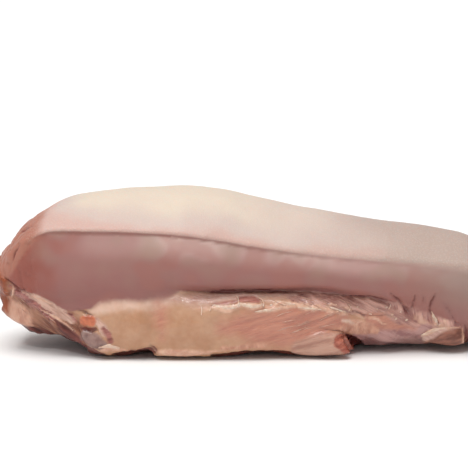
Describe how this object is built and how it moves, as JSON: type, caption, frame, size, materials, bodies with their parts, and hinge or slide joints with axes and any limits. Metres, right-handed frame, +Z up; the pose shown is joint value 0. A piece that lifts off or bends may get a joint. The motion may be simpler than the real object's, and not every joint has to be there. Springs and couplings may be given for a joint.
{
  "type": "raw beef tongue",
  "caption": "Whole raw beef tongue with its pale rough upper skin on, cut square at the root and trimmed underneath, lying flat on its trimmed underside.",
  "frame": {"origin": "on the floor, under the middle of the tongue's outline", "axes": "+X along the tongue from the cut root to the tip, +Z up through the rough upper face, +Y to the tongue's left side as it lies"},
  "size_m": [0.3712, 0.0972, 0.0977],
  "materials": {
    "raw_flesh": "moist raw flesh under pale mouth skin, satin to wet"
  },
  "bodies": {
    "root": {"beef_tongue": "raw_flesh"}
  },
  "joints": []
}
